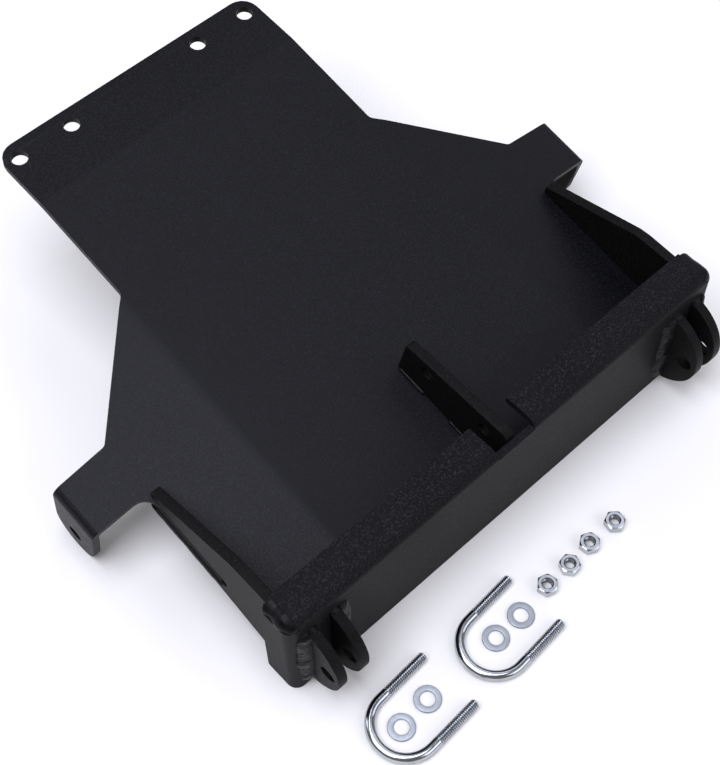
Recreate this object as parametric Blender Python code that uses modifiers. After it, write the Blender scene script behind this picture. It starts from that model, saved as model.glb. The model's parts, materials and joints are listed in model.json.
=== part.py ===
"""Front plow mount for an all-terrain vehicle, lying level with its loose hardware in front.

A bent main plate carries two side gussets, a centre bracket and a channel-shaped front crossbar.
Four ears on the crossbar make two clevises for the push frame. Two U-bolts with flat washers and
hex nuts clamp the rear strip to the vehicle. +X is the mount's left-to-right axis, +Y its rear,
+Z up, and Z = 0 is the floor. The welded pieces stay separate solids with a hairline gap.
"""
import math

import bmesh
import bpy
from mathutils import Matrix, Vector

MM = 0.001
GAP = 0.3 * MM
INCH = 25.4 * MM

# Sheet stock
PLATE_T = 3 / 16 * INCH
HEAVY_T = 1 / 4 * INCH

# Front crossbar: a folded channel that stands upright on the floor
BAR_FRONT_Y = -133.4 * MM
BAR_HALF_W = 167.1 * MM
BAR_HEIGHT = 81.6 * MM
BAR_DEPTH = 23.2 * MM
BAR_END_DEPTH = 23.0 * MM
BAR_BEND_OUT = 6.5 * MM
BAR_FLANGE_HALF = 160.0 * MM
NOTCH_HALF = 14.5 * MM

# Main plate, in its own frame: the top of the centre panel lies at PANEL_TOP
PITCH = math.radians(12.57)
PLATE_ORIGIN = (0.0, 49.95 * MM, 35.757 * MM)
PANEL_TOP = 38.8 * MM
PANEL_HALF = 98.8 * MM
STRIP_BEND_Y = 124.1 * MM
STRIP_LENGTH = 47.9 * MM
STRIP_ANGLE = math.radians(6.4)
STRIP_BEND_R = 30.0 * MM
REAR_CORNER_R = 12.0 * MM
NECK_Y = 50.8 * MM
WING_START = 99.0 * MM
WING_ANGLE = math.radians(9.83)
WING_BEND_R = 40.8 * MM
ARM_CORNER = (162.5 * MM, -14.3 * MM)
ARM_REAR_Y = -16.2 * MM
ARM_FRONT_Y = -50.7 * MM
TAB_OUT_X = 200.4 * MM
TAB_BEND_OUT = 7.0 * MM
TONGUE_HALF = 162.0 * MM
TONGUE_END_Y = -115.5 * MM
THROAT_HALF = 155.2 * MM
PLATE_FRONT_Y = -173.9 * MM
PLATE_FRONT_SIDE_Y = -175.7 * MM

# Holes
REAR_HOLE_X = (-88.7 * MM, -49.8 * MM, 49.8 * MM, 88.7 * MM)
REAR_HOLE_REACH = 36.3 * MM
REAR_HOLE_R = 5.35 * MM
TAB_HOLE_R = 5.15 * MM
BRACKET_HOLES = ((-104.6 * MM, 62.3 * MM), (-150.5 * MM, 66.8 * MM))
BRACKET_HOLE_R = 4.25 * MM
PIN_HOLE_R = 5.25 * MM

# Side gussets, in the plate's frame
GUSSET_OUT_X = 162.0 * MM
GUSSET_REAR_Y = -53.8 * MM
GUSSET_REAR_TOP = 36.1 * MM
GUSSET_REAR_BOTTOM = 20.5 * MM
GUSSET_CREST = (-118.0 * MM, 68.0 * MM)
GUSSET_SHOULDER = (-125.0 * MM, 70.0 * MM)
GUSSET_SLOT_END = -116.5 * MM

# Centre bracket, in the plate's frame
BRACKET_REAR_Y = -85.3 * MM
BRACKET_REAR_TOP = 68.5 * MM
BRACKET_FRONT_TOP = (-162.8 * MM, 81.6 * MM)

# Clevis ears
EAR_INNER_X = 133.0 * MM
EAR_OUTER_X = 149.0 * MM
EAR_R = 31.5 * MM
EAR_CENTRE = (7.7 * MM, 35.3 * MM)
PIN_CENTRE = (-14.5 * MM, 34.6 * MM)

# Loose quarter-inch hardware
ROD_D = 1 / 4 * INCH
U_PITCH = 39.0 * MM
U_STRAIGHT = 35.3 * MM
U_BOLTS = (
    ("u_bolt_1", -31.8 * MM, -186.1 * MM, 3.6),
    ("u_bolt_2", -100.3 * MM, -186.3 * MM, 2.7),
)
NUT_FLATS = 7 / 16 * INCH
NUT_H = 5.56 * MM
NUT_BORE_R = 3.25 * MM
NUTS = ((-20.1, -184.5, 12.0), (-1.4, -184.6, 38.0), (17.1, -183.0, 5.0), (38.2, -183.6, 50.0))
WASHER_D = 5 / 8 * INCH
WASHER_BORE_R = 4.5 * MM
WASHER_T = 1.6 * MM
WASHERS = ((-138.2, -187.6), (-116.7, -185.8), (-63.8, -186.5), (-43.6, -186.5))


def clear_scene():
    for obj in list(bpy.data.objects):
        bpy.data.objects.remove(obj, do_unlink=True)


def new_collection(name):
    found = bpy.data.collections.get(name)
    if found:
        bpy.data.collections.remove(found)
    made = bpy.data.collections.new(name)
    bpy.context.scene.collection.children.link(made)
    return made


def metal(name, colour, roughness, metallic):
    made = bpy.data.materials.new(name)
    made.use_nodes = True
    shader = made.node_tree.nodes["Principled BSDF"]
    shader.inputs["Base Color"].default_value = (*colour, 1.0)
    shader.inputs["Roughness"].default_value = roughness
    shader.inputs["Metallic"].default_value = metallic
    made.diffuse_color = (*colour, 1.0)
    return made


def add_object(name, mesh, collection):
    made = bpy.data.objects.new(name, mesh)
    collection.objects.link(made)
    return made


def finish_part(obj, material, smooth_angle=30.0):
    obj.data.materials.clear()
    obj.data.materials.append(material)
    obj.data.shade_smooth()
    obj.data.set_sharp_from_angle(angle=math.radians(smooth_angle))


# ---------------------------------------------------------------- outlines and sheet metal


def arc(centre, radius, start, end, steps):
    """Points of an arc from angle start to angle end, in degrees."""
    angles = [math.radians(start + (end - start) * i / steps) for i in range(steps + 1)]
    return [(centre[0] + radius * math.cos(a), centre[1] + radius * math.sin(a)) for a in angles]


def fillet(before, corner, after, radius, steps=5):
    """Points that round the corner between two straight edges."""
    corner = Vector(corner)
    to_before = (Vector(before) - corner).normalized()
    to_after = (Vector(after) - corner).normalized()
    half = to_before.angle(to_after) / 2
    centre = corner + (to_before + to_after).normalized() * radius / math.sin(half)
    start = corner + to_before * radius / math.tan(half) - centre
    end = corner + to_after * radius / math.tan(half) - centre
    sweep = start.angle_signed(end)
    points = []
    for i in range(steps + 1):
        turn = -sweep * i / steps
        x = start.x * math.cos(turn) - start.y * math.sin(turn)
        y = start.x * math.sin(turn) + start.y * math.cos(turn)
        points.append((centre.x + x, centre.y + y))
    return points


def slab_mesh(name, outline, thickness):
    """A flat outline in XY, thickened evenly about Z = 0, as a closed mesh."""
    curve = bpy.data.curves.new(name + "_outline", "CURVE")
    curve.dimensions = "2D"
    curve.fill_mode = "BOTH"
    curve.extrude = thickness / 2
    spline = curve.splines.new("POLY")
    spline.points.add(len(outline) - 1)
    for point, (x, y) in zip(spline.points, outline):
        point.co = (x, y, 0.0, 1.0)
    spline.use_cyclic_u = True
    return curve_to_mesh(name, curve)


def curve_to_mesh(name, curve):
    """The curve's surface as a mesh, with its caps welded on."""
    holder = bpy.data.objects.new(name + "_curve", curve)
    bpy.context.scene.collection.objects.link(holder)
    graph = bpy.context.evaluated_depsgraph_get()
    mesh = bpy.data.meshes.new_from_object(holder.evaluated_get(graph))
    bpy.data.objects.remove(holder, do_unlink=True)
    mesh.name = name
    bm = bmesh.new()
    bm.from_mesh(mesh)
    bmesh.ops.remove_doubles(bm, verts=bm.verts, dist=0.01 * MM)
    bmesh.ops.dissolve_limit(bm, angle_limit=math.radians(1), verts=bm.verts, edges=bm.edges)
    bmesh.ops.recalc_face_normals(bm, faces=bm.faces)
    bm.to_mesh(mesh)
    bm.free()
    return mesh


def fold(mesh, axis, start, angle, radius, steps, both_sides=False):
    """Bend a flat sheet down about a line across the given axis; radius is the sheet's middle."""
    length = angle * radius
    sides = (1, -1) if both_sides else (1,)
    normal = Vector((1, 0, 0)) if axis == 0 else Vector((0, 1, 0))
    bm = bmesh.new()
    bm.from_mesh(mesh)
    for side in sides:
        for i in range(steps + 1):
            everything = bm.verts[:] + bm.edges[:] + bm.faces[:]
            cut = normal * side * (start + length * i / steps)
            bmesh.ops.bisect_plane(bm, geom=everything, dist=1e-7, plane_co=cut, plane_no=normal)
    for vert in bm.verts:
        side = -1 if both_sides and vert.co[axis] < 0 else 1
        past = vert.co[axis] * side - start
        if past <= 0:
            continue
        turned = min(past / radius, angle)
        straight = max(past - length, 0.0)
        reach = radius + vert.co.z
        along = start + reach * math.sin(turned) + straight * math.cos(turned)
        vert.co.z = reach * math.cos(turned) - radius - straight * math.sin(turned)
        vert.co[axis] = along * side
    bm.to_mesh(mesh)
    bm.free()


def soften(obj, width, segments=1):
    """Broken edges, as left by deburring and powder coat."""
    bevel = obj.modifiers.new("soft_edges", "BEVEL")
    bevel.width = width
    bevel.segments = segments
    bevel.limit_method = "ANGLE"
    bevel.angle_limit = math.radians(50)
    return bevel


def drill(obj, cutters, frame, radius, depth, sides=32):
    """Cut a round hole along the frame's Z axis."""
    bm = bmesh.new()
    bmesh.ops.create_cone(bm, cap_ends=True, segments=sides, radius1=radius, radius2=radius, depth=depth)
    mesh = bpy.data.meshes.new(obj.name + "_drill")
    bm.to_mesh(mesh)
    bm.free()
    subtract(obj, add_object(obj.name + "_drill", mesh, cutters), frame)


def subtract(obj, cutter, frame, operation="DIFFERENCE"):
    cutter.matrix_world = frame
    cutter.hide_render = True
    cutter.display_type = "WIRE"
    cut = obj.modifiers.new("cut", "BOOLEAN")
    cut.operation = operation
    cut.solver = "EXACT"
    cut.object = cutter


# ---------------------------------------------------------------- frames


def plate_frame():
    """From the plate's own frame to the world: pitched up towards the rear."""
    return Matrix.Translation(PLATE_ORIGIN) @ Matrix.Rotation(PITCH, 4, "X")


def to_plate(y, z):
    """A world point of the middle plane, in the plate's own frame."""
    local = plate_frame().inverted() @ Vector((0.0, y, z))
    return (local.y, local.z)


def side_view(x_centre):
    """Maps an outline drawn in (Y, Z) with its thickness along X."""
    return Matrix.Translation((x_centre, 0, 0)) @ Matrix(
        ((0, 0, 1, 0), (1, 0, 0, 0), (0, 1, 0, 0), (0, 0, 0, 1))
    )


ALONG_X = Matrix.Rotation(math.pi / 2, 4, "Y")


# ---------------------------------------------------------------- main plate


def flat_x(x):
    """The unfolded position of a point of the wing's middle plane."""
    run = x - WING_START - WING_BEND_R * math.sin(WING_ANGLE)
    return WING_START + WING_BEND_R * WING_ANGLE + run / math.cos(WING_ANGLE)


def wing_top(x):
    """Height of the wing's upper face in the plate's frame."""
    bend = WING_BEND_R + PLATE_T / 2
    run = x - WING_START - bend * math.sin(WING_ANGLE)
    return PANEL_TOP - bend * (1 - math.cos(WING_ANGLE)) - run * math.tan(WING_ANGLE)


def tab_layout():
    """Unfolded start of the tab's bend, its middle radius, and where its round end is centred."""
    radius = TAB_BEND_OUT - PLATE_T / 2
    turn = math.pi / 2 - WING_ANGLE
    arm_end = TAB_OUT_X - PLATE_T / 2 - radius * (1 - math.sin(WING_ANGLE))
    start = flat_x(arm_end)
    middle = PANEL_TOP - PLATE_T / 2 - WING_BEND_R * (1 - math.cos(WING_ANGLE))
    middle -= (start - flat_x(WING_START + WING_BEND_R * math.sin(WING_ANGLE))) * math.sin(WING_ANGLE)
    bend_foot = middle - radius * math.cos(WING_ANGLE)
    end_r = (ARM_REAR_Y - ARM_FRONT_Y) / 2
    centre_y = (ARM_REAR_Y + ARM_FRONT_Y) / 2
    drop = PLATE_ORIGIN[2] + centre_y * math.sin(PITCH) - end_r
    centre_z = -drop / math.cos(PITCH)
    reach = start + turn * radius + bend_foot - centre_z
    return start, radius, turn, reach, (centre_y, centre_z), end_r


def main_plate_outline():
    tab_reach = tab_layout()[3]
    tab_centre, tab_r = tab_layout()[4][0], tab_layout()[5]
    rear_y = STRIP_BEND_Y + STRIP_LENGTH
    neck = (PANEL_HALF, NECK_Y)
    corner = (flat_x(ARM_CORNER[0]), ARM_CORNER[1])
    shoulder = (flat_x(TONGUE_HALF), ARM_FRONT_Y)
    tongue = (flat_x(TONGUE_HALF), TONGUE_END_Y)
    throat_x = flat_x(THROAT_HALF)
    half = fillet((0, rear_y), (PANEL_HALF, rear_y), neck, REAR_CORNER_R)
    half += fillet((PANEL_HALF, rear_y), neck, corner, 6 * MM, 3)
    half += fillet(neck, corner, (tab_reach, ARM_REAR_Y), 4 * MM, 3)
    half += arc((tab_reach, tab_centre), tab_r, 90, -90, 16)
    half += fillet((tab_reach, ARM_FRONT_Y), shoulder, tongue, 10 * MM)
    half += [tongue, (throat_x, TONGUE_END_Y), (throat_x, PLATE_FRONT_SIDE_Y)]
    half += [(WING_START, PLATE_FRONT_Y)]
    return half + [(-x, y) for x, y in reversed(half)]


def main_plate(parts, cutters, material):
    start, radius, turn, _, tab_hole, _ = tab_layout()
    mesh = slab_mesh("main_plate", main_plate_outline(), PLATE_T)
    fold(mesh, 0, start, turn, radius, 6, both_sides=True)
    fold(mesh, 0, WING_START, WING_ANGLE, WING_BEND_R, 3, both_sides=True)
    fold(mesh, 1, STRIP_BEND_Y, STRIP_ANGLE, STRIP_BEND_R, 2)
    mesh.transform(Matrix.Translation((0, 0, PANEL_TOP - PLATE_T / 2)))
    obj = add_object("main_plate", mesh, parts)
    obj.matrix_world = plate_frame()
    reach = REAR_HOLE_REACH - STRIP_BEND_R * STRIP_ANGLE
    along = STRIP_BEND_R * math.sin(STRIP_ANGLE) + reach * math.cos(STRIP_ANGLE)
    drop = STRIP_BEND_R * (1 - math.cos(STRIP_ANGLE)) + reach * math.sin(STRIP_ANGLE)
    level = PANEL_TOP - PLATE_T / 2 - drop
    for x in REAR_HOLE_X:
        spot = Matrix.Translation((x, STRIP_BEND_Y + along, level))
        frame = plate_frame() @ spot @ Matrix.Rotation(-STRIP_ANGLE, 4, "X")
        drill(obj, cutters, frame, REAR_HOLE_R, 20 * MM)
    for side in (-1, 1):
        spot = Matrix.Translation((side * TAB_OUT_X, *tab_hole))
        drill(obj, cutters, plate_frame() @ spot @ ALONG_X, TAB_HOLE_R, 30 * MM)
    finish_part(obj, material)
    soften(obj, 0.4 * MM)


# ---------------------------------------------------------------- front crossbar


def front_crossbar(parts, material):
    """Front face with a top flange and two end flanges folded back from it."""
    radius = BAR_BEND_OUT - PLATE_T / 2
    arc_length = radius * math.pi / 2
    face_top = BAR_HEIGHT - BAR_BEND_OUT
    face_side = BAR_HALF_W - BAR_BEND_OUT
    top = face_top + arc_length + BAR_DEPTH - BAR_BEND_OUT
    side = face_side + arc_length + BAR_END_DEPTH - BAR_BEND_OUT
    half = fillet((0, 0), (side, 0), (side, face_top), 2 * MM, 3)
    half += fillet((side, 0), (side, face_top), (BAR_FLANGE_HALF, face_top), 2 * MM, 3)
    half += [(BAR_FLANGE_HALF, face_top), (BAR_FLANGE_HALF, top), (NOTCH_HALF, top)]
    half += fillet((NOTCH_HALF, top), (NOTCH_HALF, face_top), (0, face_top), 1.5 * MM, 3)
    outline = half + [(-x, y) for x, y in reversed(half)]
    mesh = slab_mesh("front_crossbar", outline, PLATE_T)
    fold(mesh, 1, face_top, math.pi / 2, radius, 6)
    fold(mesh, 0, face_side, math.pi / 2, radius, 6, both_sides=True)
    obj = add_object("front_crossbar", mesh, parts)
    middle_y = BAR_FRONT_Y + PLATE_T / 2
    obj.matrix_world = Matrix.Translation((0, middle_y, 0)) @ Matrix.Rotation(math.pi / 2, 4, "X")
    finish_part(obj, material)
    soften(obj, 0.4 * MM)


def corner_welds(parts, material):
    """Weld metal that closes the open corners between the crossbar's flanges."""
    low = Vector((BAR_FLANGE_HALF + GAP, BAR_FRONT_Y + 1.6 * MM, BAR_HEIGHT - BAR_BEND_OUT + GAP))
    high = Vector((BAR_HALF_W - 1.6 * MM, BAR_FRONT_Y + BAR_END_DEPTH, BAR_HEIGHT - 0.4 * MM))
    for name, side in (("left_corner_weld", -1), ("right_corner_weld", 1)):
        bm = bmesh.new()
        bmesh.ops.create_cube(bm, size=1.0)
        bmesh.ops.scale(bm, vec=high - low, verts=bm.verts)
        centre = (low + high) / 2
        bmesh.ops.translate(bm, vec=(side * centre.x, centre.y, centre.z), verts=bm.verts)
        mesh = bpy.data.meshes.new(name)
        bm.to_mesh(mesh)
        bm.free()
        obj = add_object(name, mesh, parts)
        finish_part(obj, material)
        soften(obj, 2.2 * MM, 3)


# ---------------------------------------------------------------- gussets, bracket and ears


def gusset_outline():
    """Side gusset in the plate's (Y, Z), with a slot from the rear for the wing's edge."""
    inner_y = BAR_FRONT_Y + PLATE_T + 1.2 * MM
    under_weld = BAR_HEIGHT - BAR_BEND_OUT - GAP / 2
    slot_top = wing_top(GUSSET_OUT_X - HEAVY_T) + GAP
    slot_foot = wing_top(GUSSET_OUT_X) - PLATE_T / math.cos(WING_ANGLE) - GAP
    slot_r = (slot_top - slot_foot) / 2
    slot_mid = (slot_top + slot_foot) / 2
    shelf = to_plate(BAR_FRONT_Y + BAR_DEPTH, under_weld)
    front_top = to_plate(inner_y, under_weld)
    front_foot = to_plate(inner_y, 1.0 * MM)
    rear_top = (GUSSET_REAR_Y, GUSSET_REAR_TOP)
    rear_foot = (GUSSET_REAR_Y, GUSSET_REAR_BOTTOM)
    points = fillet((GUSSET_REAR_Y, slot_top), rear_top, GUSSET_CREST, 1.5 * MM, 3)
    points += fillet(rear_top, GUSSET_CREST, GUSSET_SHOULDER, 8 * MM, 3)
    points += [GUSSET_SHOULDER, shelf]
    points += fillet(shelf, front_top, front_foot, 2.5 * MM, 3)
    points += [front_foot]
    points += fillet(front_foot, rear_foot, (GUSSET_REAR_Y, slot_foot), 1 * MM, 2)
    points += [(GUSSET_REAR_Y, slot_foot)]
    points += arc((GUSSET_SLOT_END, slot_mid), slot_r, 270, 90, 8)
    points += [(GUSSET_REAR_Y, slot_top)]
    return points


def upright_plate(name, outline, x_centre, frame, collection, material):
    mesh = slab_mesh(name, outline, HEAVY_T)
    obj = add_object(name, mesh, collection)
    obj.matrix_world = frame @ side_view(x_centre)
    finish_part(obj, material)
    return obj


def side_gussets(parts, material):
    for name, side in (("left_side_gusset", -1), ("right_side_gusset", 1)):
        x_centre = side * (GUSSET_OUT_X - HEAVY_T / 2)
        obj = upright_plate(name, gusset_outline(), x_centre, plate_frame(), parts, material)
        soften(obj, 0.4 * MM)


def centre_bracket(parts, cutters, material):
    inner_y = BAR_FRONT_Y + PLATE_T + GAP
    foot = PANEL_TOP + GAP
    rear_top = Vector((BRACKET_REAR_Y, BRACKET_REAR_TOP))
    slope = Vector(BRACKET_FRONT_TOP) - rear_top
    face_high = Vector(to_plate(inner_y, BAR_HEIGHT))
    face_run = Vector(to_plate(inner_y, 0.0)) - face_high
    along = (face_high - rear_top).cross(face_run) / slope.cross(face_run)
    front_top = rear_top + slope * along
    front_foot = face_high + face_run * (face_high.y - foot) / -face_run.y
    outline = [(BRACKET_REAR_Y, foot)]
    outline += fillet((BRACKET_REAR_Y, foot), rear_top, front_top, 2.5 * MM, 3)
    outline += fillet(rear_top, front_top, front_foot, 5 * MM)
    outline += [tuple(front_foot)]
    obj = upright_plate("centre_bracket", outline, 0.0, plate_frame(), parts, material)
    for y, z in BRACKET_HOLES:
        frame = plate_frame() @ Matrix.Translation((0, y, z)) @ ALONG_X
        drill(obj, cutters, frame, BRACKET_HOLE_R, 12 * MM, 24)
    soften(obj, 0.4 * MM)


def clevis_ears(parts, cutters, material):
    """Round-nosed lugs in pairs; a hitch pin passes through each pair."""
    centre = (BAR_FRONT_Y + EAR_CENTRE[0], EAR_CENTRE[1])
    root = math.degrees(math.acos((BAR_FRONT_Y - GAP - centre[0]) / EAR_R))
    outline = arc(centre, EAR_R, root, 360 - root, 28)
    pin = (PIN_CENTRE[0] + BAR_FRONT_Y, PIN_CENTRE[1])
    for side_name, side in (("left", -1), ("right", 1)):
        for place, inner_x in (("inner", EAR_INNER_X), ("outer", EAR_OUTER_X)):
            name = side_name + "_" + place + "_ear"
            x_centre = side * (inner_x + HEAVY_T / 2)
            obj = upright_plate(name, outline, x_centre, Matrix(), parts, material)
            frame = Matrix.Translation((x_centre, *pin)) @ ALONG_X
            drill(obj, cutters, frame, PIN_HOLE_R, 12 * MM)
            soften(obj, 0.4 * MM)


# ---------------------------------------------------------------- loose hardware


def u_bolts(parts, material):
    """Round rod bent to a U; the legs point to +X and lie on the floor."""
    turns = 14
    bend = [(-U_STRAIGHT + x, y) for x, y in arc((0, 0), U_PITCH / 2, 90, 270, turns)]
    route = [(0.0, U_PITCH / 2)] + bend + [(0.0, -U_PITCH / 2)]
    for name, x, y, degrees in U_BOLTS:
        curve = bpy.data.curves.new(name, "CURVE")
        curve.dimensions = "3D"
        curve.bevel_depth = ROD_D / 2
        curve.bevel_resolution = 3
        curve.use_fill_caps = True
        spline = curve.splines.new("POLY")
        spline.points.add(len(route) - 1)
        for point, (along, across) in zip(spline.points, route):
            point.co = (along, across, 0.0, 1.0)
        mesh = curve_to_mesh(name, curve)
        lowest = min(vert.co.z for vert in mesh.vertices)
        obj = add_object(name, mesh, parts)
        turn = Matrix.Rotation(math.radians(degrees), 4, "Z")
        obj.matrix_world = Matrix.Translation((x, y, -lowest)) @ turn
        finish_part(obj, material)


def turned_blank(name, cutters):
    """A short cylinder with 30 degree chamfers, which gives a nut its rounded corners."""
    radius = NUT_FLATS / math.sqrt(3)
    chamfer = radius - 0.96 * NUT_FLATS / 2
    rise = chamfer * math.tan(math.radians(30))
    heights = (NUT_H / 2, NUT_H / 2 - rise, rise - NUT_H / 2, -NUT_H / 2)
    radii = (radius - chamfer, radius, radius, radius - chamfer)
    bm = bmesh.new()
    rings = []
    for height, ring_r in zip(heights, radii):
        spot = Matrix.Translation((0, 0, height))
        made = bmesh.ops.create_circle(bm, cap_ends=False, segments=36, radius=ring_r * 1.0005, matrix=spot)
        rings.append([edge for vert in made["verts"] for edge in vert.link_edges])
    for upper, lower in zip(rings, rings[1:]):
        bmesh.ops.bridge_loops(bm, edges=list(set(upper + lower)))
    bmesh.ops.holes_fill(bm, edges=bm.edges, sides=36)
    bmesh.ops.recalc_face_normals(bm, faces=bm.faces)
    mesh = bpy.data.meshes.new(name)
    bm.to_mesh(mesh)
    bm.free()
    return add_object(name, mesh, cutters)


def hex_nuts(parts, cutters, material):
    for number, (x, y, degrees) in enumerate(NUTS, 1):
        name = "hex_nut_" + str(number)
        bm = bmesh.new()
        corner_r = NUT_FLATS / math.sqrt(3)
        bmesh.ops.create_cone(bm, cap_ends=True, segments=6, radius1=corner_r, radius2=corner_r, depth=NUT_H)
        mesh = bpy.data.meshes.new(name)
        bm.to_mesh(mesh)
        bm.free()
        obj = add_object(name, mesh, parts)
        turn = Matrix.Rotation(math.radians(degrees), 4, "Z")
        obj.matrix_world = Matrix.Translation((x * MM, y * MM, NUT_H / 2)) @ turn
        subtract(obj, turned_blank(name + "_blank", cutters), obj.matrix_world, "INTERSECT")
        drill(obj, cutters, obj.matrix_world, NUT_BORE_R, 3 * NUT_H, 24)
        finish_part(obj, material)


def flat_washers(parts, cutters, material):
    for number, (x, y) in enumerate(WASHERS, 1):
        name = "flat_washer_" + str(number)
        bm = bmesh.new()
        outer = WASHER_D / 2
        bmesh.ops.create_cone(bm, cap_ends=True, segments=40, radius1=outer, radius2=outer, depth=WASHER_T)
        mesh = bpy.data.meshes.new(name)
        bm.to_mesh(mesh)
        bm.free()
        obj = add_object(name, mesh, parts)
        obj.matrix_world = Matrix.Translation((x * MM, y * MM, WASHER_T / 2))
        drill(obj, cutters, obj.matrix_world, WASHER_BORE_R, 4 * WASHER_T)
        finish_part(obj, material)


def main():
    clear_scene()
    parts = new_collection("plow_mount")
    cutters = new_collection("cutters")
    powder_coat = metal("black_powder_coat", (0.018, 0.019, 0.022), 0.5, 0.0)
    gusset_coat = metal("gusset_powder_coat", (0.022, 0.022, 0.023), 0.5, 0.0)
    bar_coat = metal("crossbar_powder_coat", (0.020, 0.021, 0.023), 0.45, 0.0)
    weld_metal = metal("coated_weld", (0.015, 0.015, 0.016), 0.3, 0.1)
    zinc = metal("zinc_plate", (0.72, 0.73, 0.74), 0.25, 1.0)
    washer_zinc = metal("dull_zinc_plate", (0.52, 0.56, 0.62), 0.42, 1.0)
    main_plate(parts, cutters, powder_coat)
    front_crossbar(parts, bar_coat)
    corner_welds(parts, weld_metal)
    side_gussets(parts, gusset_coat)
    centre_bracket(parts, cutters, gusset_coat)
    clevis_ears(parts, cutters, bar_coat)
    u_bolts(parts, zinc)
    hex_nuts(parts, cutters, zinc)
    flat_washers(parts, cutters, washer_zinc)


main()
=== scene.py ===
"""Looks for the plow mount: camera, studio, painted steel, weld beads and zinc hardware."""
import json
import math

import bmesh
import bpy
from mathutils import Matrix, Vector, noise


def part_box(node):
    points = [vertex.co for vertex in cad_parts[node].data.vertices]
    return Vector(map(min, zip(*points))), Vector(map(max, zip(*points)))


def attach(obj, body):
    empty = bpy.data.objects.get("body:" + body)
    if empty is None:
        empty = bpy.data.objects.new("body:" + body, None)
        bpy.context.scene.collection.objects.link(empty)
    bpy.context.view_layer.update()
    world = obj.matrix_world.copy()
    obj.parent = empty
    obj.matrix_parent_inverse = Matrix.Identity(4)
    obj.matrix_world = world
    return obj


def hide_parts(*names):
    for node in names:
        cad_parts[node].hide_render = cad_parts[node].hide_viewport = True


MM = 0.001
INCH = 25.4 * MM
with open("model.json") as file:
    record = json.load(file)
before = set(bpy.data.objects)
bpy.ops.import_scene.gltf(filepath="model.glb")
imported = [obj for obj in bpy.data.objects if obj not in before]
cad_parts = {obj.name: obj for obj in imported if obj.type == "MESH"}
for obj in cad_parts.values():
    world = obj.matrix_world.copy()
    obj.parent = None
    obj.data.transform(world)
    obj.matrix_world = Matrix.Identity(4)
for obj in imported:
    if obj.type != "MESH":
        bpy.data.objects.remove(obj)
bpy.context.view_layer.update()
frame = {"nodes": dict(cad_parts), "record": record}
NODES = frame["nodes"]
WELDMENT = "weldment"
UP = Vector((0, 0, 1))
REARWARD = Vector((0, 1, 0))

# Camera, as the mount is seen in the photograph
CAMERA_PLACE = (-0.3256, -0.3702, 0.7699)
CAMERA_AZIMUTH = math.radians(-41.70)
CAMERA_ELEVATION = math.radians(57.87)
CAMERA_ROLL = math.radians(-1.26)
CAMERA_LENS = 72.62
SENSOR = 36.0

# Studio: each softbox has a name, a place, its two side lengths and a power, and faces AIM
SOFTBOXES = (
    ("key", (-0.5, 0.0, 1.5), (0.95, 1.5), 22.0),
    ("fill", (1.2, 0.3, 1.3), (1.4, 1.6), 6.5),
    ("front", (0.6, -1.5, 1.1), (1.8, 1.2), 12.0),
    ("rear", (-0.5, 1.9, 1.3), (1.8, 1.2), 14.0),
)
AIM = Vector((0, 0, 0))
COOL = (0.95, 0.96, 1.12)
AIR = 0.22
FLOOR_REACH = 6.0
FLOOR_DROP = 0.1 * MM
FLOOR_COLOUR = (0.90, 0.89, 0.84)

# Weld beads in general
PUDDLE = 1.54 * MM
BEAD_STATION = 0.275 * MM
BEAD_SIDES = 10
BEAD_SMOOTH = 70.0
SEAM_SINK = 0.3 * MM

# Weld metal on the crossbar's two top corners
CORNER_R = 6.5 * MM
WELD_SINK = 0.7 * MM
CORNER_ROWS = 52
CORNER_SIDES = 20
CORNER_REAR_INSET = 0.4 * MM
CORNER_FRONT_INSET = 0.6 * MM
CORNER_END = 2.5 * MM
LUMP_LENGTH = 6.5 * MM

# Clevis ears: fillets down each ear, a cap over its top and one tack in the right gap
EAR_LEG = 3.5 * MM
EAR_SPREAD = 2.1
EAR_WELD_FOOT = 1.0 * MM
EAR_WELD_PAST = 0.8 * MM
CAP_LEG = 3.2 * MM
CAP_DROP = 1.2 * MM
CAP_PAST = 0.5 * MM
TACK_LEG = 4.2 * MM
TACK_RISE = (1.5 * MM, 13.0 * MM)

# Bracket foot, gusset seams, crossbar flanges and the plate's underside
BRACKET_LEG = 1.4 * MM
BRACKET_STITCHES = ((0.02, 0.26), (0.50, 0.72))
SLOT_REAR = (-7.9 * MM, 42.6 * MM)
SLOT_RUN = 62.0 * MM
SEAM_WIDTH = 5.4 * MM
SEAM_HEIGHT = 1.1 * MM
FLANGE_LEG = 3.4 * MM
FLANGE_INSET = 0.2 * MM
FLANGE_FOOT = 3.0 * MM
FLANGE_HEAD = 9.0 * MM
UNDER_EDGE_Z = 31.2 * MM
UNDER_INSET = 0.2 * MM
UNDER_LEG = 3.6 * MM
UNDER_X = (-82.0 * MM, -28.0 * MM, 28.0 * MM, 82.0 * MM)
UNDER_HALF = 14.0 * MM

# U-bolts: place of the middle between the tips, and turn in degrees. The rod lies inside the CAD's
# ten-sided one, so its radius is half that rod's height
U_TIPS = {
    "u_bolt_1": (-31.8 * MM, -186.1 * MM, 3.6),
    "u_bolt_2": (-100.3 * MM, -186.3 * MM, 2.7),
}
U_HALF = 19.5 * MM
U_STRAIGHT = 35.3 * MM
BOLT_R = 3.02 * MM
BOLT_SIDES = 28
BEND_STEPS = 64
PLAIN_STEPS = 6
TIP_CHAMFER = 0.75 * MM
TIP_SLOPE = 0.9
# Stretch at each tip whose thread roots get no painted shade
TIP_BRIGHT = 1.0 * MM

# Threads
THREAD_PITCH = INCH / 20
THREAD_STEPS = 10
THREAD_LENGTH = 30.3 * MM
THREAD_DEPTH = 0.62 * MM
THREAD_SLOPE = 2.6
THREAD_CREST = 0.18
# Depths past which thread roots get the painted groove shade
BOLT_ROOT = 0.36 * MM
NUT_ROOT = 0.02 * MM

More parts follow.
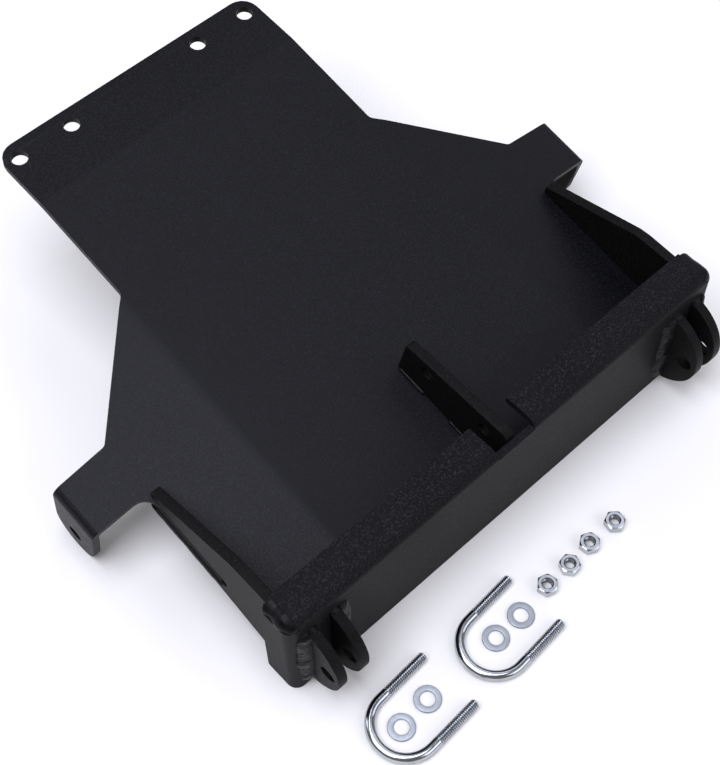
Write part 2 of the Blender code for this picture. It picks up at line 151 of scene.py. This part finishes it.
# Nuts
NUT_FLAT = 7 / 32 * INCH
NUT_FACE = 0.955
NUT_SLOPE = math.tan(math.radians(30))
NUT_SIDES = 96
NUT_BORE = 3.15 * MM
NUT_THREAD_STEPS = 44
NUT_THREAD_INSET = 0.35 * MM
NUT_THREAD_RISE = 0.25 * MM
NUT_THREAD_FADE = 0.6 * MM
NUT_MOUTH = 0.5 * MM
NUT_FADE_R = 0.45 * MM
NUT_ANGLES = (12.0, 38.0, 5.0, 50.0)

# Washers
WASHER_BORE = 4.45 * MM
WASHER_ROLL = 0.42 * MM
WASHER_BORE_ROLL = 0.36 * MM
WASHER_CRISP = 0.08 * MM
ROLL_STEPS = 6
WASHER_SIDES = 96
WASHER_COUNT = 4


# ---------------------------------------------------------------- shader nodes


class Recipe:
    """A material under construction: a Principled shader and the nodes that feed it."""

    def __init__(self, name, roughness, metallic=0.0, specular=0.5):
        self.material = bpy.data.materials.new(name)
        self.material.use_nodes = True
        self.tree = self.material.node_tree
        self.shader = self.tree.nodes["Principled BSDF"]
        self.shader.inputs["Roughness"].default_value = roughness
        self.shader.inputs["Metallic"].default_value = metallic
        self.shader.inputs["Specular IOR Level"].default_value = specular
        place = self.tree.nodes.new("ShaderNodeTexCoord")
        self.place = place.outputs["Object"]

    def link(self, source, target):
        self.tree.links.new(source, target)

    def noise(self, scale, detail=2.0, roughness=0.5):
        made = self.tree.nodes.new("ShaderNodeTexNoise")
        made.inputs["Scale"].default_value = scale
        made.inputs["Detail"].default_value = detail
        made.inputs["Roughness"].default_value = roughness
        self.link(self.place, made.inputs["Vector"])
        return made.outputs["Fac"]

    def specks(self, scale):
        """Distance to the nearest of scattered points."""
        made = self.tree.nodes.new("ShaderNodeTexVoronoi")
        made.inputs["Scale"].default_value = scale
        self.link(self.place, made.inputs["Vector"])
        return made.outputs["Distance"]

    def span(self, source, low, high, start=0.0, end=1.0):
        """The source's low to high, mapped to start to end."""
        made = self.tree.nodes.new("ShaderNodeMapRange")
        made.inputs["From Min"].default_value = low
        made.inputs["From Max"].default_value = high
        made.inputs["To Min"].default_value = start
        made.inputs["To Max"].default_value = end
        self.link(source, made.inputs["Value"])
        return made.outputs["Result"]

    def mix(self, factor, first, second):
        """Blend of two colours, each of them a value or another node's output."""
        made = self.tree.nodes.new("ShaderNodeMix")
        made.data_type = "RGBA"
        self.link(factor, made.inputs["Factor"])
        for socket, colour in ((made.inputs[6], first), (made.inputs[7], second)):
            if isinstance(colour, tuple):
                socket.default_value = (*colour, 1.0)
            else:
                self.link(colour, socket)
        return made.outputs[2]

    def product(self, first, second):
        made = self.tree.nodes.new("ShaderNodeMath")
        made.operation = "MULTIPLY"
        self.link(first, made.inputs[0])
        self.link(second, made.inputs[1])
        return made.outputs[0]

    def colour(self, source):
        self.link(source, self.shader.inputs["Base Color"])

    def roughness(self, source):
        self.link(source, self.shader.inputs["Roughness"])

    def bump(self, *layers):
        """Each layer is (height, strength, distance); later layers ride on earlier ones."""
        below = None
        for height, strength, distance in layers:
            made = self.tree.nodes.new("ShaderNodeBump")
            made.inputs["Strength"].default_value = strength
            made.inputs["Distance"].default_value = distance
            self.link(height, made.inputs["Height"])
            if below:
                self.link(below, made.inputs["Normal"])
            below = made.outputs["Normal"]
        self.link(below, self.shader.inputs["Normal"])


# ---------------------------------------------------------------- materials


def powder_coat(name, dark, light, roughness, gloss, grain=1.0):
    """Satin black powder coat: fine leathery texture, faint cloudiness and a few dust specks."""
    made = Recipe(name, roughness, specular=gloss)
    clouds = made.noise(9.0, 3.0, 0.55)
    fine = made.noise(1000.0, 1.0, 0.5)
    peel = made.noise(420.0, 1.0, 0.5)
    tone = made.mix(made.span(clouds, 0.3, 0.7), dark, light)
    grit = made.mix(made.span(fine, 0.50, 0.75), tone, tuple(3.0 * c for c in light))
    dust = made.span(made.specks(160.0), 0.035, 0.02)
    sparse = made.span(made.noise(60.0, 1.0), 0.62, 0.66)
    made.colour(made.mix(made.product(dust, sparse), grit, (0.05, 0.05, 0.055)))
    made.roughness(made.span(fine, 0.35, 0.65, roughness - 0.07, roughness + 0.07))
    made.bump((peel, 0.05 * grain, 0.2 * MM), (fine, 0.45 * grain, 0.12 * MM))
    return made.material


def coated_weld():
    """Weld metal under glossy powder coat."""
    made = Recipe("coated_weld", 0.4, specular=0.13)
    ripples = made.noise(260.0, 2.0, 0.5)
    tone = made.span(ripples, 0.3, 0.7)
    made.colour(made.mix(tone, (0.0020, 0.0020, 0.0023), (0.0040, 0.0040, 0.0044)))
    made.roughness(made.span(ripples, 0.3, 0.7, 0.32, 0.46))
    made.bump((ripples, 0.25, 0.5 * MM))
    return made.material


def bright_zinc():
    """Bright zinc plating: mirror-like, faintly blue, with duller patches and a fine texture."""
    made = Recipe("bright_zinc", 0.16, metallic=1.0)
    patches = made.noise(120.0, 3.0, 0.6)
    fine = made.noise(900.0, 3.0, 0.6)
    made.colour(made.mix(made.span(patches, 0.35, 0.7), (0.52, 0.54, 0.56), (0.40, 0.42, 0.45)))
    made.roughness(made.span(fine, 0.3, 0.7, 0.08, 0.20))
    made.bump((patches, 0.05, 0.3 * MM), (fine, 0.05, 0.1 * MM))
    return made.material


def thread_root_painted_shade():
    """Painted shade in the roots of threads: a darker zinc that stands in for the shade deep in the
    grooves.
    """
    made = Recipe("thread_root_painted_shade", 0.4, metallic=1.0)
    patches = made.noise(300.0, 2.0, 0.6)
    made.colour(made.mix(made.span(patches, 0.35, 0.7), (0.24, 0.26, 0.27), (0.15, 0.16, 0.17)))
    return made.material


def dull_zinc():
    """Tumbled zinc plating on stamped washers."""
    made = Recipe("dull_zinc", 0.42, metallic=1.0)
    patches = made.noise(180.0, 3.0, 0.6)
    fine = made.noise(1400.0, 2.0, 0.6)
    made.colour(made.mix(made.span(patches, 0.3, 0.7), (0.37, 0.40, 0.42), (0.31, 0.335, 0.36)))
    made.roughness(made.span(fine, 0.3, 0.7, 0.34, 0.52))
    made.bump((patches, 0.12, 0.3 * MM), (fine, 0.15, 0.1 * MM))
    return made.material


# ---------------------------------------------------------------- mesh helpers


def add_piece(name, bm, material, body, smooth_angle, second=None):
    bmesh.ops.recalc_face_normals(bm, faces=bm.faces)
    mesh = bpy.data.meshes.new(name)
    bm.to_mesh(mesh)
    bm.free()
    obj = bpy.data.objects.new(name, mesh)
    bpy.context.scene.collection.objects.link(obj)
    mesh.materials.append(material)
    if second:
        mesh.materials.append(second)
    mesh.shade_smooth()
    mesh.set_sharp_from_angle(angle=math.radians(smooth_angle))
    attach(obj, body)
    return obj


def skin(bm, rings, closed=False):
    """Faces between successive rings of points; a skin that isn't closed gets flat end caps."""
    loops = [[bm.verts.new(point) for point in ring] for ring in rings]
    pairs = list(zip(loops, loops[1:]))
    if closed:
        pairs.append((loops[-1], loops[0]))
    for lower, upper in pairs:
        for i in range(len(lower)):
            j = (i + 1) % len(lower)
            bm.faces.new((lower[i], lower[j], upper[j], upper[i]))
    if not closed:
        bm.faces.new(list(reversed(loops[0])))
        bm.faces.new(loops[-1])
    bm.verts.index_update()


def refined(node, material):
    """The CAD plate with shared points and shading that runs smoothly round its bends."""
    bm = bmesh.new()
    bm.from_mesh(NODES[node].data)
    bmesh.ops.remove_doubles(bm, verts=bm.verts, dist=0.002 * MM)
    obj = add_piece(node + "_steel", bm, material, WELDMENT, 32.0)
    weighted = obj.modifiers.new("flat_faces_lead", "WEIGHTED_NORMAL")
    weighted.keep_sharp = True
    weighted.weight = 100
    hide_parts(node)


# ---------------------------------------------------------------- weld metal


def stations(start, end):
    count = max(int((end - start).length / BEAD_STATION), 6)
    return [start.lerp(end, i / count) for i in range(count + 1)]


def swell(point, size):
    """Unevenness of hand-laid weld metal, as a factor around 1."""
    return 1.0 + size * noise.noise(point * 130.0) + 0.3 * size * noise.noise(point * 600.0)


def ripple(travelled):
    """Overlapping puddles along a bead, as a factor just under 1."""
    return 0.98 + 0.02 * abs(math.sin(math.pi * travelled / PUDDLE))


def end_taper(travelled, length, reach):
    """Rounded ends of a bead, as a factor up to 1."""
    nearest = min(travelled, length - travelled)
    if nearest >= reach:
        return 1.0
    return max(math.sqrt(max(1.0 - (1.0 - nearest / reach) ** 2, 0.0)), 0.12)


def fillet_bead(name, start, end, along_a, along_b, leg, wide=1.0):
    """A bead in the corner between two faces that run off along_a and along_b."""
    bm = bmesh.new()
    length = (end - start).length
    rings = []
    for point in stations(start, end):
        travelled = (point - start).length
        size = leg * ripple(travelled) * end_taper(travelled, length, leg)
        ring = [point - (along_a + along_b) * 0.05 * leg]
        for k in range(BEAD_SIDES + 1):
            turn = math.pi / 2 * k / BEAD_SIDES
            reach = size / (math.cos(turn) + math.sin(turn)) * (1.0 + 0.22 * math.sin(2 * turn))
            reach *= swell(point + (along_a * math.cos(turn) + along_b * math.sin(turn)) * leg, 0.28)
            spread = along_a * reach * wide * math.cos(turn)
            ring.append(point + spread + along_b * reach * math.sin(turn))
        rings.append(ring)
    skin(bm, rings)
    add_piece(name, bm, WELD, WELDMENT, BEAD_SMOOTH)


def seam_bead(name, start, end, outward, across, width, height):
    """A low crowned bead on a face, over the seam between two flush pieces."""
    bm = bmesh.new()
    length = (end - start).length
    rings = []
    for point in stations(start, end):
        travelled = (point - start).length
        size = ripple(travelled) * end_taper(travelled, length, width / 2) * swell(point, 0.3)
        foot = point - outward * SEAM_SINK
        ring = [foot + across * width * 0.3, foot - across * width * 0.3]
        for k in range(BEAD_SIDES + 1):
            turn = math.pi * k / BEAD_SIDES
            side = -across * math.cos(turn) * width / 2 * size
            ring.append(point + side + outward * math.sin(turn) * height * size)
        rings.append(ring)
    skin(bm, rings)
    add_piece(name, bm, WELD, WELDMENT, BEAD_SMOOTH)


def corner_radius(y, rear_y, turn_y, lumps):
    """Radius of the corner's weld metal: round in front, drawn in at the rear end, and lumpy."""
    radius = CORNER_R + WELD_SINK
    if y < turn_y:
        radius = WELD_SINK + math.sqrt(max(CORNER_R ** 2 - (turn_y - y) ** 2, 0.0))
    rear_gap = rear_y - y
    if rear_gap < CORNER_END:
        radius *= 0.80 + 0.20 * math.sqrt(1.0 - (1.0 - rear_gap / CORNER_END) ** 2)
    return radius * (1.0 + lumps * (0.6 * math.cos(math.pi * rear_gap / LUMP_LENGTH) - 0.35))


def corner_weld(side_name, side, lumps):
    """Weld metal that rounds off the crossbar's corner."""
    node = side_name + "_corner_weld"
    _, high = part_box(node)
    bar_low, bar_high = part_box("front_crossbar")
    root_x = bar_high.x - CORNER_R - WELD_SINK
    root_z = bar_high.z - CORNER_R - WELD_SINK
    rear_y = high.y - CORNER_REAR_INSET
    front_y = bar_low.y + CORNER_FRONT_INSET
    bm = bmesh.new()
    rings = []
    for i in range(CORNER_ROWS + 1):
        y = rear_y + (front_y - rear_y) * i / CORNER_ROWS
        radius = corner_radius(y, rear_y, bar_low.y + CORNER_R, lumps)
        ring = [Vector((side * root_x, y, root_z))]
        for k in range(CORNER_SIDES + 1):
            turn = math.pi / 2 * k / CORNER_SIDES
            uneven = noise.noise(Vector((turn * 1.2, y * 130.0, 5.0 + side)))
            reach = radius * (1.0 + lumps * 0.5 * uneven)
            spot_x = root_x + reach * math.cos(turn)
            ring.append(Vector((side * spot_x, y, root_z + reach * math.sin(turn))))
        rings.append(ring)
    skin(bm, rings)
    obj = add_piece(node + "_metal", bm, WELD, WELDMENT, 75.0)
    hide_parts(node)


def ear_welds():
    """Fillets on each ear's side away from its clevis gap, caps over the tops, and one tack."""
    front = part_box("front_crossbar")[0].y
    for side_name, side in (("left", -1), ("right", 1)):
        for place, which in (("inner", 0), ("outer", 1)):
            low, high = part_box(side_name + "_" + place + "_ear")
            faces = (min(abs(low.x), abs(high.x)), max(abs(low.x), abs(high.x)))
            x = side * faces[which]
            away = Vector((side if which else -side, 0, 0))
            start = Vector((x, front, low.z + EAR_WELD_FOOT))
            end = Vector((x, front, high.z + EAR_WELD_PAST))
            name = side_name + "_" + place + "_ear_weld"
            fillet_bead(name, start, end, away, -REARWARD, EAR_LEG, EAR_SPREAD)
            cap_start = Vector((side * (faces[0] - CAP_PAST), front, high.z - CAP_DROP))
            cap_end = Vector((side * (faces[1] + CAP_PAST), front, high.z - CAP_DROP))
            fillet_bead(name + "_cap", cap_start, cap_end, UP, -REARWARD, CAP_LEG)
    low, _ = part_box("right_outer_ear")
    start, end = [Vector((low.x, front, low.z + rise)) for rise in TACK_RISE]
    fillet_bead("right_outer_ear_tack", start, end, Vector((-1, 0, 0)), -REARWARD, TACK_LEG)


def plate_directions():
    """A point on the centre panel, its normal and its forward direction, from the panel mount."""
    mounts = frame["record"]["mounts"]
    panel = next(m for m in mounts if m["name"] == "panel_top")
    normal = Vector(panel["axis"]).normalized()
    return Vector(panel["pos_m"]), normal, Vector((0, -normal.z, normal.y))


def bracket_welds():
    """Two short stitches along each side of the bracket's foot."""
    spot, normal, forward = plate_directions()
    low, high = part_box("centre_bracket")
    run = [(p - spot.y) / forward.y for p in (high.y, low.y)]
    for side_name, side in (("left", -1), ("right", 1)):
        sideways = Vector((side, 0, 0))
        for number, stitch in enumerate(BRACKET_STITCHES, 1):
            reach = [run[0] + (run[1] - run[0]) * part for part in stitch]
            start, end = [spot + forward * r + sideways * high.x for r in reach]
            name = side_name + "_bracket_weld_" + str(number)
            fillet_bead(name, start, end, sideways, normal, BRACKET_LEG)


def gusset_welds():
    """Seams where the wings pass through the gussets, and where the gussets meet the crossbar."""
    _, normal, forward = plate_directions()
    bar_low, bar_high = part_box("front_crossbar")
    for side_name, side in (("left", -1), ("right", 1)):
        low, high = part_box(side_name + "_side_gusset")
        outward = Vector((side, 0, 0))
        outer_x = side * max(abs(low.x), abs(high.x))
        slot_rear = Vector((outer_x, *SLOT_REAR))
        slot_front = slot_rear + forward * SLOT_RUN
        name = side_name + "_gusset_seam"
        seam_bead(name, slot_rear, slot_front, outward, normal, SEAM_WIDTH, SEAM_HEIGHT)
        flange_y = bar_high.y - FLANGE_INSET
        start = Vector((outer_x, flange_y, bar_low.z + FLANGE_FOOT))
        end = Vector((outer_x, flange_y, bar_high.z - FLANGE_HEAD))
        fillet_bead(side_name + "_flange_weld", start, end, REARWARD, outward, FLANGE_LEG)


def underside_welds():
    """Stitches under the plate's front edge, where it meets the crossbar."""
    _, _, forward = plate_directions()
    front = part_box("main_plate")[0].y
    for number, x in enumerate(UNDER_X, 1):
        start = Vector((x - UNDER_HALF, front + UNDER_INSET, UNDER_EDGE_Z))
        end = start + Vector((2 * UNDER_HALF, 0, 0))
        fillet_bead("underside_weld_" + str(number), start, end, -UP, -forward, UNDER_LEG)


# ---------------------------------------------------------------- loose hardware


def thread_cut(travelled, turn):
    """How deep a rolled V thread is cut at a point; its crests and roots are narrow flats."""
    phase = (travelled / THREAD_PITCH - turn / (2 * math.pi)) % 1.0
    return THREAD_DEPTH * min(max(abs(phase - 0.5) * THREAD_SLOPE - THREAD_CREST, 0.0), 1.0)


def paint_groove_shade(bm, depths, limit):
    """Gives faces whose points lie deeper than the limit the second material, the painted shade in
    the grooves.
    """
    for face in bm.faces:
        deep = sum(depths[vert.index] for vert in face.verts) / len(face.verts)
        face.material_index = 1 if deep > limit else 0


def u_bolt_stops():
    """Centre, direction, distance from the tip and whether threaded, along the bent rod."""
    fine = THREAD_PITCH / THREAD_STEPS
    plain = (U_STRAIGHT - THREAD_LENGTH) / PLAIN_STEPS
    leg = [(i * fine, True) for i in range(int(THREAD_LENGTH / fine))]
    leg += [(THREAD_LENGTH + plain * i, False) for i in range(PLAIN_STEPS)]
    stops = []
    for back, threaded in leg:
        stops.append((Vector((-back, U_HALF, 0)), Vector((-1, 0, 0)), back, threaded))
    for i in range(BEND_STEPS + 1):
        angle = math.pi / 2 + math.pi * i / BEND_STEPS
        centre = Vector((-U_STRAIGHT + U_HALF * math.cos(angle), U_HALF * math.sin(angle), 0))
        ahead = Vector((-math.sin(angle), math.cos(angle), 0))
        stops.append((centre, ahead, U_STRAIGHT, False))
    for back, threaded in reversed(leg):
        stops.append((Vector((-back, -U_HALF, 0)), Vector((1, 0, 0)), back, threaded))
    return stops


def threaded_radius(back, turn):
    """Radius of the threaded stretch, with a chamfered tip and a thread that fades at its end."""
    fade = min(max((THREAD_LENGTH - back) / THREAD_PITCH, 0.0), 1.0)
    return min(BOLT_R - thread_cut(back, turn) * fade, BOLT_R - TIP_CHAMFER + back * TIP_SLOPE)


def u_bolt(name):
    """Bent rod with rolled threads and chamfered tips on both legs; lies on the floor."""
    low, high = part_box(name)
    mid_z = (low.z + high.z) / 2
    x, y, degrees = U_TIPS[name]
    place = Matrix.Translation((x, y, mid_z)) @ Matrix.Rotation(math.radians(degrees), 4, "Z")
    bm = bmesh.new()
    rings = []
    depths = []
    for centre, ahead, back, threaded in u_bolt_stops():
        across = ahead.cross(UP).normalized()
        ring = []
        for k in range(BOLT_SIDES):
            turn = 2 * math.pi * k / BOLT_SIDES
            radius = threaded_radius(back, turn) if threaded else BOLT_R
            round_the_rod = across * radius * math.cos(turn) + UP * radius * math.sin(turn)
            ring.append(place @ (centre + round_the_rod))
            # Depth of the cut, which decides where the painted groove shade goes
            depths.append(BOLT_R - radius if threaded and back > TIP_BRIGHT else 0.0)
        rings.append(ring)
    skin(bm, rings)
    # Thread roots deeper than the limit get the darker zinc of painted shade
    paint_groove_shade(bm, depths, BOLT_ROOT)
    obj = add_piece(name + "_threaded", bm, ZINC, name, 50.0, PAINTED_GROOVE_SHADE)
    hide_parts(name)


def hex_nut(name, degrees):
    """Hexagon with turned chamfers on both faces and a threaded bore."""
    low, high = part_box(name)
    middle = (low + high) / 2
    half_h = (high.z - low.z) / 2
    face_r = NUT_FLAT * NUT_FACE

    def ring_at(rule):
        """One ring; the rule turns the hexagon's reach and the angle into a radius and a height."""
        ring = []
        for k in range(NUT_SIDES):
            turn = 2 * math.pi * k / NUT_SIDES
            wall = NUT_FLAT / math.cos((turn + math.pi / 6) % (math.pi / 3) - math.pi / 6)
            radius, z = rule(wall, turn)
            angle = turn + math.radians(degrees)
            ring.append(middle + Vector((radius * math.cos(angle), radius * math.sin(angle), z)))
        return ring

    def chamfer(sign):
        return lambda wall, turn: (wall, sign * (half_h - max(wall - face_r, 0.0) * NUT_SLOPE))

    def flat_ring(radius, z):
        return lambda wall, turn: (radius, z)

    def groove(depth):
        edge = min(half_h - abs(depth), NUT_THREAD_FADE) / NUT_THREAD_FADE

        def rule(wall, turn):
            cut = thread_cut(depth + half_h, turn) * 0.9 * edge
            return NUT_BORE - NUT_THREAD_RISE + cut + (1 - edge) * NUT_FADE_R, depth

        return rule

    rules = [flat_ring(face_r, half_h), chamfer(1), chamfer(-1), flat_ring(face_r, -half_h)]
    rules.append(flat_ring(NUT_BORE + NUT_MOUTH, -half_h))
    thread_h = 2 * half_h - 2 * NUT_THREAD_INSET
    for i in range(NUT_THREAD_STEPS + 1):
        rules.append(groove(-half_h + NUT_THREAD_INSET + thread_h * i / NUT_THREAD_STEPS))
    rules.append(flat_ring(NUT_BORE + NUT_MOUTH, half_h))
    rings = [ring_at(rule) for rule in rules]
    bm = bmesh.new()
    skin(bm, rings, closed=True)
    depths = []
    for ring in rings:
        reaches = [math.hypot(p.x - middle.x, p.y - middle.y) for p in ring]
        depths += [reach - NUT_BORE if reach < NUT_BORE + NUT_FADE_R else 0.0 for reach in reaches]
    # Thread roots deeper than the limit get the darker zinc of painted shade
    paint_groove_shade(bm, depths, NUT_ROOT)
    obj = add_piece(name + "_threaded", bm, ZINC, name, 28.0, PAINTED_GROOVE_SHADE)
    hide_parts(name)


def washer_profile(outer, thick):
    """Radius and drop below the top face, once round the ring's section."""
    profile = []
    turns = [math.pi / 2 * k / ROLL_STEPS for k in range(ROLL_STEPS + 1)]
    for turn in turns:
        radius = outer - WASHER_ROLL * (1 - math.cos(turn))
        profile.append((radius, -WASHER_ROLL * (1 - math.sin(turn))))
    for turn in turns:
        radius = WASHER_BORE + WASHER_BORE_ROLL * (1 - math.sin(turn))
        profile.append((radius, -WASHER_BORE_ROLL * (1 - math.cos(turn))))
    profile += [(WASHER_BORE, -thick + WASHER_CRISP), (WASHER_BORE + WASHER_CRISP, -thick)]
    profile += [(outer - WASHER_CRISP, -thick), (outer, -thick + WASHER_CRISP)]
    return profile


def flat_washer(name):
    """Stamped ring: the die rolls its upper edges over and leaves the lower ones crisp."""
    low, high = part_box(name)
    middle = (low + high) / 2
    profile = washer_profile((high.x - low.x) / 2, high.z - low.z)
    rings = []
    for k in range(WASHER_SIDES):
        turn = 2 * math.pi * k / WASHER_SIDES
        ring = []
        for radius, drop in profile:
            x = middle.x + radius * math.cos(turn)
            y = middle.y + radius * math.sin(turn)
            ring.append(Vector((x, y, high.z + drop)))
        rings.append(ring)
    bm = bmesh.new()
    skin(bm, rings, closed=True)
    obj = add_piece(name + "_stamped", bm, WASHER, name, 40.0)
    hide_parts(name)


# ---------------------------------------------------------------- camera and studio


def camera():
    data = bpy.data.cameras.new("photo_camera")
    data.lens = CAMERA_LENS
    data.sensor_width = SENSOR
    data.sensor_fit = "HORIZONTAL"
    data.clip_start = 0.02
    data.clip_end = 20.0
    obj = bpy.data.objects.new("photo_camera", data)
    bpy.context.scene.collection.objects.link(obj)
    az, el, roll = CAMERA_AZIMUTH, CAMERA_ELEVATION, CAMERA_ROLL
    back = Vector((math.sin(az) * math.cos(el), -math.cos(az) * math.cos(el), math.sin(el)))
    right = Vector((math.cos(az), math.sin(az), 0))
    up = back.cross(right)
    rolled_right = right * math.cos(roll) + up * math.sin(roll)
    rolled_up = up * math.cos(roll) - right * math.sin(roll)
    turn = Matrix((rolled_right, rolled_up, back)).transposed().to_4x4()
    obj.matrix_world = Matrix.Translation(CAMERA_PLACE) @ turn
    bpy.context.scene.camera = obj


def floor():
    """A white sheet just under the mount's feet."""
    bm = bmesh.new()
    bmesh.ops.create_grid(bm, x_segments=1, y_segments=1, size=FLOOR_REACH)
    mesh = bpy.data.meshes.new("studio_floor")
    bm.to_mesh(mesh)
    bm.free()
    obj = bpy.data.objects.new("studio_floor", mesh)
    bpy.context.scene.collection.objects.link(obj)
    obj.location.z = -FLOOR_DROP
    made = Recipe("studio_paper", 0.9, specular=0.1)
    made.shader.inputs["Base Color"].default_value = (*FLOOR_COLOUR, 1.0)
    mesh.materials.append(made.material)


def softbox(name, place, size, power):
    data = bpy.data.lights.new(name, "AREA")
    data.shape = "RECTANGLE"
    data.size, data.size_y = size
    data.energy = power
    data.color = COOL
    obj = bpy.data.objects.new(name, data)
    bpy.context.scene.collection.objects.link(obj)
    obj.location = place
    obj.rotation_mode = "QUATERNION"
    obj.rotation_quaternion = (AIM - Vector(place)).to_track_quat("-Z", "Y")


def studio():
    """Plain tone response, a faint white surround, and softboxes overhead, right, front and rear."""
    bpy.context.scene.view_settings.view_transform = "Standard"
    world = bpy.data.worlds.new("studio_air")
    bpy.context.scene.world = world
    world.use_nodes = True
    sky = world.node_tree.nodes["Background"]
    sky.inputs["Color"].default_value = (1.0, 1.0, 1.0, 1.0)
    sky.inputs["Strength"].default_value = AIR
    for name, place, size, power in SOFTBOXES:
        softbox(name, place, size, power)


# ---------------------------------------------------------------- assembly

# Each coat has its dark and light tones, its roughness, its gloss and, on the bar, more grain. All
# three are one powder coat: the bar's lighter tones are painted light, the plate's blue cast is a
# painted reflection of the cool lamps, and the gussets' warm cast is a painted reflection of the
# floor.
PLATE_TONES_PAINTED_COOL_CAST = ((0.0022, 0.0023, 0.0030), (0.0032, 0.0033, 0.0042))
BAR_TONES_PAINTED_LIGHT = ((0.0055, 0.0055, 0.0060), (0.0072, 0.0072, 0.0078))
SIDE_TONES_PAINTED_WARM_CAST = ((0.0026, 0.0026, 0.0026), (0.0036, 0.0036, 0.0034))
PLATE_COAT_PAINTED_CAST = powder_coat("plate_powder_coat_painted_cool_cast", *PLATE_TONES_PAINTED_COOL_CAST, 0.50, 0.17)
BAR_COAT_PAINTED_LIGHT = powder_coat("bar_powder_coat_painted_light", *BAR_TONES_PAINTED_LIGHT, 0.48, 0.05, 1.3)
SIDE_COAT_PAINTED_CAST = powder_coat("gusset_powder_coat", *SIDE_TONES_PAINTED_WARM_CAST, 0.50, 0.08)
WELD = coated_weld()
ZINC = bright_zinc()
# Darker zinc that paints shade into the thread roots
PAINTED_GROOVE_SHADE = thread_root_painted_shade()
WASHER = dull_zinc()

refined("main_plate", PLATE_COAT_PAINTED_CAST)
# The crossbar's coat is a lighter copy of the plate's, with painted light in its tones
refined("front_crossbar", BAR_COAT_PAINTED_LIGHT)
for plate in ("left_side_gusset", "right_side_gusset", "centre_bracket"):
    refined(plate, SIDE_COAT_PAINTED_CAST)
for plate in ("left_inner_ear", "left_outer_ear", "right_inner_ear", "right_outer_ear"):
    refined(plate, SIDE_COAT_PAINTED_CAST)
corner_weld("left", -1, 0.13)
corner_weld("right", 1, 0.03)
ear_welds()
bracket_welds()
gusset_welds()
underside_welds()
for bolt in U_TIPS:
    u_bolt(bolt)
for number, degrees in enumerate(NUT_ANGLES, 1):
    hex_nut("hex_nut_" + str(number), degrees)
for number in range(1, WASHER_COUNT + 1):
    flat_washer("flat_washer_" + str(number))
camera()
floor()
studio()
